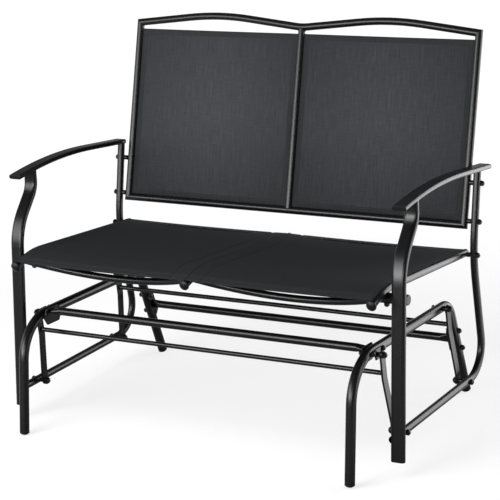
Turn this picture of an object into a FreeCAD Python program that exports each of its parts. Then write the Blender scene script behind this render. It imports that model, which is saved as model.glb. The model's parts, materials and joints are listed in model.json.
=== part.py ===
import FreeCAD, Part
import math
import os
from FreeCAD import Vector

# Glider bench. Millimetres, X across the bench, Y to the rear, Z up, floor at Z = 0.
# The base stands on the floor. Four straps hang from it and carry the seat frame.
# Left is the side of negative X, seen from in front of the bench.

# Tube and bar stock
tube_wall = 1.5
base_tube_dia = 24.0
cross_tube_dia = 20.0
upright_dia = 19.0
rail_dia = 19.0
post_dia = 18.0
bow_dia = 18.0
stub_dia = 25.0
link_rod_dia = 11.5
leg_tube_width = 35.0
leg_tube_thick = 17.0
arm_tube_width = 36.0
arm_tube_thick = 12.0
strap_width = 20.0
strap_thick = 5.0
plate_thick = 4.0

# Across the bench
base_track = 907.0
strap_inner_gap = 12.0
nut_to_strap_gap = 3.0
strap_outer_gap = 24.0
leg_outset = 4.0
back_gap = 9.5
seat_gap = 7.0

# Base side tube in side view
base_front_foot_y = -336.0
base_front_corner_y = -292.0
base_front_corner_z = 283.0
base_rear_corner_y = 224.0
base_rear_corner_z = 260.5
base_rear_foot_y = 310.0
base_front_bend = 110.0
base_rear_bend = 48.0

# Cross tubes of the base and their end plates
front_cross_y = -190.0
front_cross_z = 281.0
rear_cross_drop = 104.0
crimp_length = 24.0
crimp_width = 27.0
crimp_thick = 6.0
vent_dia = 3.0
cross_bolt_pitch = 52.0
cross_plate_margin = 11.0
cross_plate_height = 26.0
front_plate_height = 40.0
front_plate_drop = 9.0

# Glide linkage
pivot_front_y = -193.5
pivot_front_z = 272.0
pivot_rear_y = 164.3
pivot_rear_z = 267.0
strap_drop = 188.0
strap_lean = 15.0
strap_joggle = 12.0
joggle_below_top = 58.0
joggle_above_low = 22.0
link_rod_z = 226.5
link_spigot_dia = 7.5
pivot_bolt_dia = 8.0
bush_wall = 2.0
bush_flange_dia = 16.0
bush_flange_thick = 1.0
running_clearance = 0.05
open_pivot_clearance = 0.1
end_clearance = 0.3
lug_length = 30.0
lug_rise = 14.0
lug_drop = 12.0
lug_nut_room = 1.0

# Front leg in side view
leg_foot_y = -235.5
leg_foot_z = 36.0
leg_knee_y = -182.0
leg_knee_z = 486.0
leg_shoulder_y = -106.5
leg_shoulder_z = 570.0
leg_top_y = -105.0
leg_knee_bend = 150.0
leg_shoulder_bend = 60.0

# Rear upright that runs on as the bottom rail
upright_top_y = 290.0
upright_waist_y = 243.5
upright_waist_z = 380.0
upright_corner_y = 283.5
upright_waist_bend = 350.0
upright_corner_bend = 78.0

# Armrest in side view, heights of the tube's middle
arm_tip_y = -167.0
arm_tip_z = 613.8
arm_crown_y = 1.5
arm_crown_z = 630.5
arm_rear_y = 303.0
arm_rear_z = 591.5
arm_bend = 1300.0

# Seat rails in side view
seat_front_y = -252.0
seat_front_z = 409.0
seat_hump_y = -180.0
seat_hump_z = 426.5
seat_rear_y = 258.0
seat_rear_z = 382.5
seat_hump_bend = 200.0
seat_bar_y = 225.0
bow_inset_y = -212.0
bow_sag_back = 52.0
bow_sag_down = 42.0
bow_end_drop = 5.0
stub_y = -177.0
stub_overhang = 3.0

# Back frame, measured in its leaning plane
back_foot_y = 257.5
back_foot_z = 442.7
back_lean = 16.47
back_side_height = 484.0
back_peak_x = 246.6
back_peak_rise = 27.0
back_dip_height = 484.0
back_peak_bend = 800.0
back_dip_bend = 150.0
back_bolt_low_z = 462.0
back_bolt_high_z = 552.5
seat_bolt_z = 383.0

# Fabric and its hem rods
fabric_thick = 1.2
hem_rod_dia = 4.5
hem_slack = 1.0
rail_slot = 4.0
back_panel_low = 20.0
back_panel_top_gap = 26.0
seat_panel_front_inset = 4.0
seat_hem_front_inset = 12.0
seat_panel_rear_y = 248.0

# Fasteners
frame_bolt_dia = 6.0
bolt_head_dia = 12.0
bolt_head_height = 5.0
cap_nut_dia = 14.5
cap_nut_height = 9.0
cap_dome_share = 0.85
pivot_nut_dia = 16.0
pivot_head_dia = 13.0
pivot_head_height = 5.0
pivot_hex_dia = 16.0
pivot_hex_height = 8.0
pivot_flange_dia = 19.0
pivot_flange_height = 2.0
spacer_dia = 12.0
hole_clearance = 0.15
rail_thread_reach = 4.5
end_plug_depth = 16.0
plug_clearance = 0.1
plug_rim = 3.0
foot_dome_radius = 16.0
foot_flat = 0.3
rail_cap_height = 5.0
rail_cap_rim = 3.0
rail_cap_over = 5.5
rail_cap_stem = 7.0

# Planes worked out from the sizes above
X = Vector(1, 0, 0)
Y = Vector(0, 1, 0)
Z = Vector(0, 0, 1)
base_x = base_track / 2
base_outer_x = base_x + base_tube_dia / 2
base_inner_x = base_x - base_tube_dia / 2
strap_inner_x = base_outer_x + strap_inner_gap
strap_outer_x = strap_inner_x + strap_thick
rail_inner_x = strap_outer_x + strap_outer_gap
upright_x = rail_inner_x + upright_dia / 2
upright_outer_x = upright_x + upright_dia / 2
leg_x = rail_inner_x + leg_outset + leg_tube_width / 2
back_rail_x = rail_inner_x - back_gap - rail_dia / 2
seat_rail_x = rail_inner_x - seat_gap - rail_dia / 2
upper_pivots = [(pivot_front_y, pivot_front_z), (pivot_rear_y, pivot_rear_z)]
lower_pivots = [(y + strap_lean, z - strap_drop) for y, z in upper_pivots]
bush_dia = pivot_bolt_dia + 2 * bush_wall
bush_inner_x = strap_inner_x - bush_flange_thick
bush_outer_x = strap_outer_x + bush_flange_thick
hem_loop_dia = hem_rod_dia + 2 * fabric_thick
lean = math.radians(back_lean)
far = 3000.0

parts = {}


# Small geometry helpers
def side(x, y, z):
    """A point of a side view at the distance x from the middle of the bench."""
    return Vector(x, y, z)


def between(y, y0, z0, y1, z1):
    """Height at y of the straight line through two points of a side view."""
    return z0 + (z1 - z0) * (y - y0) / (y1 - y0)


def rounded_route(points, radii):
    """Straight runs joined by tangent arcs, one radius for each inner point."""
    edges = []
    start = points[0]
    for here, after, radius in zip(points[1:-1], points[2:], radii):
        before_dir = (here - start).normalize()
        after_dir = (after - here).normalize()
        half_turn = before_dir.getAngle(after_dir) / 2
        setback = radius * math.tan(half_turn)
        arc_start = here - before_dir * setback
        arc_end = here + after_dir * setback
        inward = (after_dir - before_dir).normalize()
        arc_middle = here + inward * (radius / math.cos(half_turn) - radius)
        edges.append(Part.LineSegment(start, arc_start).toShape())
        edges.append(Part.Arc(arc_start, arc_middle, arc_end).toShape())
        start = arc_end
    edges.append(Part.LineSegment(start, points[-1]).toShape())
    return Part.Wire(edges)


def round_section(centre, along, dia):
    return Part.Wire([Part.Circle(centre, along, dia / 2).toShape()])


def flat_section(centre, along, wide, width, thick):
    """A flat oval, its long way along the direction wide."""
    thin = along.cross(wide).normalize()
    radius = thick / 2
    reach = wide * (width / 2 - radius)
    tip = wide * (width / 2)
    up = thin * radius
    a = centre + reach + up
    b = centre - reach + up
    c = centre - reach - up
    d = centre + reach - up
    edges = [
        Part.LineSegment(a, b).toShape(),
        Part.Arc(b, centre - tip, c).toShape(),
        Part.LineSegment(c, d).toShape(),
        Part.Arc(d, centre + tip, a).toShape(),
    ]
    return Part.Wire(edges)


def quartered_circle(centre, along, wide, dia):
    """A circle in four arcs that match the four edges of a flat oval."""
    thin = along.cross(wide).normalize()

    def on_circle(degrees):
        angle = math.radians(degrees)
        return centre + wide * (math.cos(angle) * dia / 2) + thin * (math.sin(angle) * dia / 2)

    edges = []
    for first, last in ((60, 120), (120, 240), (240, 300), (300, 420)):
        middle = on_circle((first + last) / 2)
        edges.append(Part.Arc(on_circle(first), middle, on_circle(last)).toShape())
    return Part.Wire(edges)


def section(centre, along, wide, size):
    """A tube section: a diameter, or a pair of width and thickness."""
    if isinstance(size, tuple):
        return flat_section(centre, along, wide, size[0], size[1])
    return round_section(centre, along, size)


def inside(size):
    """The bore of a tube of that outer size."""
    if isinstance(size, tuple):
        return (size[0] - 2 * tube_wall, size[1] - 2 * tube_wall)
    return size - 2 * tube_wall


def swept(route, normal, size):
    """A solid bar of one section along a route that lies in one plane."""
    first = route.OrderedEdges[0]
    start = first.valueAt(first.FirstParameter)
    along = first.tangentAt(first.FirstParameter)
    shell = Part.BRepOffsetAPI.MakePipeShell(route)
    shell.setBiNormalMode(normal)
    shell.add(section(start, along, normal, size), False, False)
    shell.build()
    shell.makeSolid()
    return shell.shape()


def bar(points, radii, normal, size):
    """A solid bar through the points."""
    return swept(rounded_route(points, radii), normal, size)


def tube(points, radii, normal, size):
    """A hollow tube through the points, open at both ends."""
    return bar(points, radii, normal, size).cut(bar(points, radii, normal, inside(size)))


def rod(start, end, dia):
    axis = end - start
    return Part.makeCylinder(dia / 2, axis.Length, start, axis)


def rod_x(x0, x1, y, z, dia):
    return rod(Vector(x0, y, z), Vector(x1, y, z), dia)


def box(x0, x1, y0, y1, z0, z1):
    return Part.makeBox(x1 - x0, y1 - y0, z1 - z0, Vector(x0, y0, z0))


def beyond(point, normal):
    """The half of space on the side that the normal points to."""
    block = Part.makeBox(2 * far, 2 * far, far, Vector(-far, -far, 0))
    block.Placement = FreeCAD.Placement(point, FreeCAD.Rotation(Z, normal))
    return block


def dome(base, outward, dia, height):
    """A low spherical cap on a round base."""
    radius = (dia * dia / 4 + height * height) / (2 * height)
    ball = Part.makeSphere(radius, base + outward * (height - radius))
    return ball.common(Part.makeCylinder(dia / 2, height + 1, base, outward))


def hexagon(base, outward, across_corners, height):
    corners = []
    for step in range(7):
        angle = math.radians(60 * step)
        corner = Vector(math.cos(angle), math.sin(angle), 0) * (across_corners / 2)
        corners.append(corner)
    prism = Part.Face(Part.makePolygon(corners)).extrude(Vector(0, 0, height))
    prism.Placement = FreeCAD.Placement(base, FreeCAD.Rotation(Z, outward))
    return prism


def button_screw(seat, into, length, dia, head_dia, head_height):
    """A domed head on its seat, with the shank running the other way."""
    head = dome(seat, into * -1, head_dia, head_height)
    return head.fuse(rod(seat, seat + into * length, dia))


def domed_hexagon(seat, outward, dia, height):
    """A hexagon with a domed cap on it."""
    hex_height = height / 2
    cap = dome(seat + outward * hex_height, outward, dia * cap_dome_share, height - hex_height)
    return hexagon(seat, outward, dia, hex_height).fuse(cap)


def cap_nut(seat, outward, dia, height, bore, bore_depth):
    """A domed hexagon with a blind bore from its seat."""
    return domed_hexagon(seat, outward, dia, height).cut(rod(seat, seat + outward * bore_depth, bore))


def flange_bolt(seat, into, length, dia):
    """A hexagon head on a round flange, with the shank running the other way."""
    flange = Part.makeCylinder(pivot_flange_dia / 2, pivot_flange_height, seat, into * -1)
    hex_seat = seat - into * pivot_flange_height
    head = flange.fuse(domed_hexagon(hex_seat, into * -1, pivot_hex_dia, pivot_hex_height))
    return head.fuse(rod(seat, seat + into * length, dia))


def ring_x(x0, x1, y, z, dia, bore):
    return rod_x(x0, x1, y, z, dia).cut(rod_x(x0, x1, y, z, bore))


def end_plug(centre, outward, wide, size):
    """A plug: a spigot that fits the tube's bore under a rounded rim."""
    bore = inside(size)
    if isinstance(size, tuple):
        spigot_size = (bore[0] - 2 * plug_clearance, bore[1] - 2 * plug_clearance)
    else:
        spigot_size = bore - 2 * plug_clearance
    spigot_face = Part.Face(section(centre - outward * end_plug_depth, outward, wide, spigot_size))
    rim_face = Part.Face(section(centre, outward, wide, size))
    rim = rim_face.extrude(outward * plug_rim)
    far_edges = []
    for edge in rim.Edges:
        middle = edge.valueAt((edge.FirstParameter + edge.LastParameter) / 2)
        if (middle - centre).dot(outward) > plug_rim * 0.9:
            far_edges.append(edge)
    rim = rim.makeFillet(plug_rim * 0.6, far_edges)
    return rim.fuse(spigot_face.extrude(outward * end_plug_depth))


def foot_plug(top, bottom, dia):
    """A domed foot at the lower end of a leaning leg, standing on the floor."""
    down = (bottom - top).normalize()
    ball_z = foot_dome_radius - foot_flat
    ball = top + down * ((top.z - ball_z) / -down.z)
    rim_drop = math.sqrt(foot_dome_radius ** 2 - dia ** 2 / 4)
    rim = ball + down * rim_drop
    seat = rim - down * plug_rim
    body = Part.makeCylinder(dia / 2, plug_rim + foot_dome_radius, seat, down)
    body = body.common(beyond(rim, down * -1).fuse(Part.makeSphere(foot_dome_radius, ball)))
    spigot_dia = dia - 2 * tube_wall - 2 * plug_clearance
    spigot = Part.makeCylinder(spigot_dia / 2, end_plug_depth, seat - down * end_plug_depth, down)
    return body.fuse(spigot).common(beyond(Vector(0, 0, 0), Z)), seat


def mirrored(shape):
    return shape.mirror(Vector(0, 0, 0), X)


def both_sides(shape):
    """One group that holds a piece and its mirror image."""
    return Part.makeCompound([shape, mirrored(shape)])


def add_pair(name, shape):
    """The right piece and its mirror image as two nodes."""
    parts[name + "_right"] = shape
    parts[name + "_left"] = mirrored(shape)


# Base side tubes, with the holes that the fasteners go through
def base_rail_z(y):
    return between(y, base_front_corner_y, base_front_corner_z, base_rear_corner_y, base_rear_corner_z)


def rear_leg_y(z):
    run = base_rear_foot_y - base_rear_corner_y
    return base_rear_corner_y + run * (base_rear_corner_z - z) / base_rear_corner_z


rear_cross_z = base_rear_corner_z - rear_cross_drop
rear_cross_y = rear_leg_y(rear_cross_z)
rear_leg_dir = Vector(0, base_rear_foot_y - base_rear_corner_y, -base_rear_corner_z).normalize()


def front_cross_bolts():
    spots = []
    for end in (-1, 1):
        y = front_cross_y + end * cross_bolt_pitch / 2
        spots.append((y, base_rail_z(y)))
    return spots


def rear_cross_bolts():
    spots = []
    for end in (-1, 1):
        spot = Vector(0, rear_cross_y, rear_cross_z) + rear_leg_dir * (end * cross_bolt_pitch / 2)
        spots.append((spot.y, spot.z))
    return spots


cross_bolt_spots = front_cross_bolts() + rear_cross_bolts()


def base_side():
    front_foot = side(base_x, base_front_foot_y, 0)
    front_corner = side(base_x, base_front_corner_y, base_front_corner_z)
    rear_corner = side(base_x, base_rear_corner_y, base_rear_corner_z)
    rear_foot = side(base_x, base_rear_foot_y, 0)
    front_plug, front_seat = foot_plug(front_corner, front_foot, base_tube_dia)
    rear_plug, rear_seat = foot_plug(rear_corner, rear_foot, base_tube_dia)
    bends = [base_front_bend, base_rear_bend]
    body = tube([front_seat, front_corner, rear_corner, rear_seat], bends, X, base_tube_dia)
    for y, z in cross_bolt_spots:
        hole = frame_bolt_dia + 2 * hole_clearance
        body = body.cut(rod_x(base_inner_x - 1, base_outer_x + 1, y, z, hole))
    hole = pivot_bolt_dia + 2 * hole_clearance
    body = body.cut(rod_x(base_inner_x - 1, base_outer_x + 1, pivot_rear_y, pivot_rear_z, hole))
    return body, [front_plug, rear_plug]


base_side_tube, base_plugs = base_side()
add_pair("base_side_tube", base_side_tube)
parts["base_foot_plugs"] = Part.makeCompound([both_sides(plug) for plug in base_plugs])


# Cross tubes: a round tube, crimped flat at both ends, with a vent hole underneath
def cross_tube(y, z, wide):
    end_x = base_inner_x - plate_thick
    crimp_x = end_x - crimp_length
    middle = rod_x(-crimp_x, crimp_x, y, z, cross_tube_dia)
    bore = rod_x(-crimp_x, crimp_x, y, z, cross_tube_dia - 2 * tube_wall)
    vent = rod(Vector(0, y, z), Vector(0, y, z - cross_tube_dia), vent_dia)
    ends = []
    for way in (-1, 1):
        root = quartered_circle(Vector(way * crimp_x, y, z), X, wide, cross_tube_dia)
        tip = flat_section(Vector(way * end_x, y, z), X, wide, crimp_width, crimp_thick)
        ends.append(Part.makeLoft([root, tip], True, True))
    return middle.cut(bore).cut(vent).fuse(ends)


def cross_plate(spots, centre_y, centre_z, long_way, height):
    """A long six-sided plate on the inside of a side tube, with a hole for each bolt."""
    short_way = X.cross(long_way)
    centre = Vector(base_inner_x - plate_thick, centre_y, centre_z)
    half = cross_bolt_pitch / 2 + cross_plate_margin
    shoulder = half - height / 3
    rise = height / 2
    outline = []
    for a, b in ((half, 0), (shoulder, rise), (-shoulder, rise), (-half, 0), (-shoulder, -rise),
                 (shoulder, -rise), (half, 0)):
        outline.append(centre + long_way * a + short_way * b)
    plate = Part.Face(Part.makePolygon(outline)).extrude(X * plate_thick)
    for y, z in spots:
        hole = frame_bolt_dia + 2 * hole_clearance
        plate = plate.cut(rod_x(base_inner_x - 2 * plate_thick, base_inner_x + 1, y, z, hole))
    return plate


parts["front_cross_tube"] = cross_tube(front_cross_y, front_cross_z, Y)
parts["rear_cross_tube"] = cross_tube(rear_cross_y, rear_cross_z, rear_leg_dir)
rail_dir = Vector(0, base_rear_corner_y - base_front_corner_y, base_rear_corner_z - base_front_corner_z)
front_plate_z = base_rail_z(front_cross_y) - front_plate_drop
front_plate = cross_plate(front_cross_bolts(), front_cross_y, front_plate_z, rail_dir.normalize(),
                          front_plate_height)
rear_plate = cross_plate(rear_cross_bolts(), rear_cross_y, rear_cross_z, rear_leg_dir, cross_plate_height)
parts["front_cross_plates"] = both_sides(front_plate)
parts["rear_cross_plates"] = both_sides(rear_plate)

cross_bolts = []
cross_nuts = []
cross_nut_height = strap_inner_gap - nut_to_strap_gap
for y, z in cross_bolt_spots:
    seat = Vector(base_inner_x - plate_thick, y, z)
    grip = plate_thick + base_tube_dia + cross_nut_height / 2
    bolt = button_screw(seat, X, grip, frame_bolt_dia, bolt_head_dia, bolt_head_height)
    nut_seat = Vector(base_outer_x, y, z)
    nut = cap_nut(nut_seat, X, cap_nut_dia, cross_nut_height, frame_bolt_dia, cross_nut_height / 2)
    cross_bolts.append(both_sides(bolt))
    cross_nuts.append(both_sides(nut))
parts["cross_tube_bolts"] = Part.makeCompound(cross_bolts)
parts["cross_tube_nuts"] = Part.makeCompound(cross_nuts)


# Upper pivots: a stud on a lug outside the tube in front, a through bolt at the rear
def pivot_lug():
    outline = [
        Vector(base_outer_x, pivot_front_y - lug_length / 2, pivot_front_z + lug_rise),
        Vector(base_outer_x, pivot_front_y + lug_length / 2, pivot_front_z + lug_rise),
        Vector(base_outer_x, pivot_front_y + lug_length / 4, pivot_front_z - lug_drop),
        Vector(base_outer_x, pivot_front_y - lug_length / 4, pivot_front_z - lug_drop),
    ]
    lug = Part.Face(Part.makePolygon(outline + outline[:1])).extrude(X * plate_thick)
    hole = pivot_bolt_dia + 2 * hole_clearance
    lug = lug.cut(rod_x(base_outer_x - 1, strap_inner_x, pivot_front_y, pivot_front_z, hole))
    for y, z in front_cross_bolts():
        relief = cap_nut_dia + 2 * lug_nut_room
        lug = lug.cut(rod_x(base_outer_x - 1, strap_inner_x, y, z, relief))
    return max(lug.Solids, key=lambda piece: piece.Volume)


parts["front_pivot_lugs"] = both_sides(pivot_lug())

upper_bolts = []
upper_spacers = []
upper_nuts = []
upper_nut_x = bush_outer_x + end_clearance
upper_shank_end = upper_nut_x + cap_nut_height / 2
front_stud = rod_x(base_outer_x, upper_shank_end, pivot_front_y, pivot_front_z, pivot_bolt_dia)
rear_head = Vector(base_inner_x, pivot_rear_y, pivot_rear_z)
rear_bolt = button_screw(rear_head, X, upper_shank_end - base_inner_x, pivot_bolt_dia, pivot_head_dia,
                         pivot_head_height)
for (y, z), spacer_x, bolt in (
    (upper_pivots[0], base_outer_x + plate_thick, front_stud),
    (upper_pivots[1], base_outer_x, rear_bolt),
):
    spacer_bore = pivot_bolt_dia + 2 * hole_clearance
    spacer = ring_x(spacer_x, bush_inner_x - end_clearance, y, z, spacer_dia, spacer_bore)
    nut_seat = Vector(upper_nut_x, y, z)
    nut = cap_nut(nut_seat, X, pivot_nut_dia, cap_nut_height, pivot_bolt_dia, cap_nut_height / 2)
    upper_bolts.append(both_sides(bolt))
    upper_spacers.append(both_sides(spacer))
    upper_nuts.append(both_sides(nut))
parts["upper_pivot_bolts"] = Part.makeCompound(upper_bolts)
parts["upper_pivot_spacers"] = Part.makeCompound(upper_spacers)
parts["upper_pivot_nuts"] = Part.makeCompound(upper_nuts)


# Straps, their plastic bushes and the rods that join them in pairs
def link_rod_y(top):
    """Where the link rod crosses the middle line of a strap."""
    return top[0] + strap_lean * (top[1] - link_rod_z) / strap_drop


def strap(top, low):
    """A flat strap, joggled outward between its link rod and its lower pivot."""
    start = Vector(0, top[0], top[1])
    down = Vector(0, low[0], low[1]) - start
    reach = down.Length
    down.normalize()
    blank = flat_section(start + down * (reach / 2), X, down, reach + strap_width, strap_width)
    blank = Part.Face(blank).extrude(X * rail_inner_x)
    near = [(strap_inner_x, -strap_width), (strap_inner_x, joggle_below_top)]
    near.append((strap_inner_x + strap_joggle, reach - joggle_above_low))
    near.append((strap_inner_x + strap_joggle, reach + strap_width))
    beyond_side = [(x + strap_thick, along) for x, along in reversed(near)]
    across = X.cross(down) * strap_width
    profile = [start + X * x + down * along - across for x, along in near + beyond_side + near[:1]]
    plate = blank.common(Part.Face(Part.makePolygon(profile)).extrude(across * 2))
    for y, z in (top, low):
        plate = plate.cut(rod_x(base_outer_x, rail_inner_x, y, z, bush_dia))
    return plate.cut(rod_x(base_outer_x, rail_inner_x, link_rod_y(top), link_rod_z, link_spigot_dia))


def link_rod(y):
    body = rod_x(-strap_inner_x, strap_inner_x, y, link_rod_z, link_rod_dia)
    return body.fuse(rod_x(-strap_outer_x, strap_outer_x, y, link_rod_z, link_spigot_dia))


def bush(spot, outset, bore):
    """A flanged bush in a strap end that stands an outset further from the middle."""
    y, z = spot
    body = rod_x(strap_inner_x, strap_outer_x, y, z, bush_dia)
    for x in (bush_inner_x, strap_outer_x):
        body = body.fuse(rod_x(x, x + bush_flange_thick, y, z, bush_flange_dia))
    body = body.cut(rod_x(bush_inner_x - 1, bush_outer_x + 1, y, z, bore))
    return body.translated(X * outset)


running_bore = pivot_bolt_dia + 2 * running_clearance
open_bore = pivot_bolt_dia + 2 * open_pivot_clearance
for end, top, low, low_bore in (
    ("front", upper_pivots[0], lower_pivots[0], running_bore),
    ("rear", upper_pivots[1], lower_pivots[1], open_bore),
):
    add_pair(end + "_strap", strap(top, low))
    parts[end + "_link_rod"] = link_rod(link_rod_y(top))
    bushes = [both_sides(bush(top, 0, running_bore)), both_sides(bush(low, strap_joggle, low_bore))]
    parts[end + "_strap_bushes"] = Part.makeCompound(bushes)

# Lower pivots: bolts through the straps and the bottom rails
lower_bolts = []
lower_spacers = []
lower_nuts = []
lower_head_x = bush_inner_x + strap_joggle - end_clearance
lower_spacer_x = bush_outer_x + strap_joggle + end_clearance
for y, z in lower_pivots:
    shank = upright_outer_x - lower_head_x + cap_nut_height / 2
    bolt = flange_bolt(Vector(lower_head_x, y, z), X, shank, pivot_bolt_dia)
    spacer_bore = pivot_bolt_dia + 2 * hole_clearance
    spacer = ring_x(lower_spacer_x, rail_inner_x, y, z, spacer_dia, spacer_bore)
    nut_seat = Vector(upright_outer_x, y, z)
    nut = cap_nut(nut_seat, X, pivot_nut_dia, cap_nut_height, pivot_bolt_dia, cap_nut_height / 2)
    lower_bolts.append(both_sides(bolt))
    lower_spacers.append(both_sides(spacer))
    lower_nuts.append(both_sides(nut))
parts["lower_pivot_bolts"] = Part.makeCompound(lower_bolts)
parts["lower_pivot_spacers"] = Part.makeCompound(lower_spacers)
parts["lower_pivot_nuts"] = Part.makeCompound(lower_nuts)

# Armrests and front legs, of flat-oval tube
arm_tube = (arm_tube_width, arm_tube_thick)
leg_tube = (leg_tube_width, leg_tube_thick)
arm_points = [
    side(leg_x, arm_tip_y, arm_tip_z),
    side(leg_x, arm_crown_y, arm_crown_z),
    side(leg_x, arm_rear_y, arm_rear_z),
]
arm_solid = bar(arm_points, [arm_bend], X, arm_tube)
add_pair("armrest", tube(arm_points, [arm_bend], X, arm_tube))
arm_front_out = (arm_points[0] - arm_points[1]).normalize()
arm_rear_out = (arm_points[2] - arm_points[1]).normalize()
arm_plugs = [end_plug(arm_points[0], arm_front_out, X, arm_tube)]
arm_plugs.append(end_plug(arm_points[2], arm_rear_out, X, arm_tube))
parts["armrest_end_plugs"] = Part.makeCompound([both_sides(plug) for plug in arm_plugs])

leg_points = [
    side(leg_x, leg_foot_y, leg_foot_z),
    side(leg_x, leg_knee_y, leg_knee_z),
    side(leg_x, leg_shoulder_y, leg_shoulder_z),
    side(leg_x, leg_top_y, between(leg_top_y, arm_tip_y, arm_tip_z, arm_crown_y, arm_crown_z)),
]
leg_bends = [leg_knee_bend, leg_shoulder_bend]
leg_solid = bar(leg_points, leg_bends, X, leg_tube)
front_leg = tube(leg_points, leg_bends, X, leg_tube).cut(arm_solid)
add_pair("front_leg", max(front_leg.Solids, key=lambda piece: piece.Volume))
leg_down = (leg_points[0] - leg_points[1]).normalize()
parts["front_leg_plugs"] = both_sides(end_plug(leg_points[0], leg_down, X, leg_tube))

# Rear uprights, each bent forward at the foot into the bottom rail that holds the lower pivots
def bottom_rail_z(y):
    return between(y, lower_pivots[0][0], lower_pivots[0][1], lower_pivots[1][0], lower_pivots[1][1])


upright_points = [
    side(upright_x, upright_top_y, arm_rear_z),
    side(upright_x, upright_waist_y, upright_waist_z),
    side(upright_x, upright_corner_y, bottom_rail_z(upright_corner_y)),
    side(upright_x, leg_foot_y, bottom_rail_z(leg_foot_y)),
]
upright_bends = [upright_waist_bend, upright_corner_bend]


def upright_y(z):
    """The upright's middle above its waist bend."""
    return between(z, upright_waist_z, upright_waist_y, arm_rear_z, upright_top_y)


def back_rail_y(z):
    return back_foot_y + (z - back_foot_z) * math.tan(lean)


def shared_y(z):
    """Halfway between the middles of the upright and of the back side rail."""
    return (upright_y(z) + back_rail_y(z)) / 2


back_bolt_spots = [(shared_y(z), z, back_gap) for z in (back_bolt_low_z, back_bolt_high_z)]
seat_bolt_spot = (upright_y(seat_bolt_z), seat_bolt_z, seat_gap)
frame_bolt_spots = back_bolt_spots + [seat_bolt_spot]


def upright():
    body = tube(upright_points, upright_bends, X, upright_dia).cut(arm_solid).cut(leg_solid)
    body = max(body.Solids, key=lambda piece: piece.Volume)
    for y, z, gap in frame_bolt_spots:
        hole = frame_bolt_dia + 2 * hole_clearance
        body = body.cut(rod_x(rail_inner_x - 1, upright_outer_x + 1, y, z, hole))
    for y, z in lower_pivots:
        hole = pivot_bolt_dia + 2 * hole_clearance
        body = body.cut(rod_x(rail_inner_x - 1, upright_outer_x + 1, y, z, hole))
    return body


add_pair("rear_upright", upright())

frame_bolts = []
frame_spacers = []
for y, z, gap in frame_bolt_spots:
    seat = Vector(upright_outer_x, y, z)
    grip = upright_dia + gap + rail_thread_reach
    bolt = domed_hexagon(seat, X, cap_nut_dia, cap_nut_height)
    bolt = bolt.fuse(rod(seat, seat - X * grip, frame_bolt_dia))
    bore = frame_bolt_dia + 2 * hole_clearance
    frame_bolts.append(both_sides(bolt))
    frame_spacers.append(both_sides(ring_x(rail_inner_x - gap, rail_inner_x, y, z, spacer_dia, bore)))
parts["frame_bolts"] = Part.makeCompound(frame_bolts)
parts["frame_spacers"] = Part.makeCompound(frame_spacers)

# Seat rails and the slots on top of them
seat_side_points = [
    side(seat_rail_x, seat_front_y, seat_front_z),
    side(seat_rail_x, seat_hump_y, seat_hump_z),
    side(seat_rail_x, seat_rear_y, seat_rear_z),
]


def seat_rail_z(y):
    return between(y, seat_hump_y, seat_hump_z, seat_rear_y, seat_rear_z)


def raised(points, rise):
    """The same side view route, moved square to itself by a rise."""
    front_dir = (points[1] - points[0]).normalize()
    rear_dir = (points[2] - points[1]).normalize()
    front_up = X.cross(front_dir)
    rear_up = X.cross(rear_dir)
    middle_up = (front_up + rear_up).normalize()
    stretch = rise / middle_up.dot(front_up)
    return [points[0] + front_up * rise, points[1] + middle_up * stretch, points[2] + rear_up * rise]


def at_x(points, x):
    return [Vector(x, point.y, point.z) for point in points]


def seat_ribbon(x0, x1, low, high):
    """A strip that follows the rails, between two heights above their middle line."""
    edges = []
    for rise in (low, high):
        lifted = at_x(raised(seat_side_points, rise), x0)
        edges.append(rounded_route(lifted, [seat_hump_bend + rise]))
    a = edges[0].OrderedEdges
    b = edges[1].OrderedEdges
    front = Part.LineSegment(a[0].valueAt(a[0].FirstParameter), b[0].valueAt(b[0].FirstParameter))
    rear = Part.LineSegment(a[-1].valueAt(a[-1].LastParameter), b[-1].valueAt(b[-1].LastParameter))
    outline = Part.Wire(Part.__sortEdges__(a + b + [front.toShape(), rear.toShape()]))
    return Part.Face(outline).extrude(X * (x1 - x0))


def seat_rail(x):
    body = tube(at_x(seat_side_points, x), [seat_hump_bend], X, rail_dia)
    return body.cut(seat_ribbon(x - rail_slot / 2, x + rail_slot / 2, 0, rail_dia))


def rail_end_caps(x):
    front, hump, rear = at_x(seat_side_points, x)
    front_out = (front - hump).normalize()
    rear_out = (rear - hump).normalize()
    spigot = rail_dia - 2 * tube_wall - 2 * plug_clearance
    caps = []
    for spot, outward, over, rim, height in (
        (front, front_out, rail_cap_over, rail_cap_rim, rail_cap_height),
        (rear, rear_out, 0, 0, plug_rim),
    ):
        cap = dome(spot + outward * rim, outward, rail_dia + over, height)
        if rim:
            cap = cap.fuse(Part.makeCylinder((rail_dia + over) / 2, rim, spot, outward))
        stem = Part.makeCylinder(spigot / 2, rail_cap_stem, spot, outward * -1)
        caps.append(cap.fuse(stem))
    return caps


stub_z = seat_rail_z(stub_y) - rail_dia / 2 - stub_dia / 2
stub_bolt_top = Vector(seat_rail_x, stub_y, stub_z + stub_dia / 2 + rail_thread_reach)
stub_bolt_low = Vector(seat_rail_x, stub_y, stub_z - stub_dia / 2)
seat_hole_dia = frame_bolt_dia + 2 * hole_clearance
stub_bolt_hole = rod(stub_bolt_low - Z, stub_bolt_top, seat_hole_dia)


def seat_side_rail():
    y, z, gap = seat_bolt_spot
    body = seat_rail(seat_rail_x).cut(stub_bolt_hole)
    body = body.cut(rod_x(seat_rail_x, rail_inner_x, y, z, seat_hole_dia))
    return max(body.Solids, key=lambda piece: piece.Volume)


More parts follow.
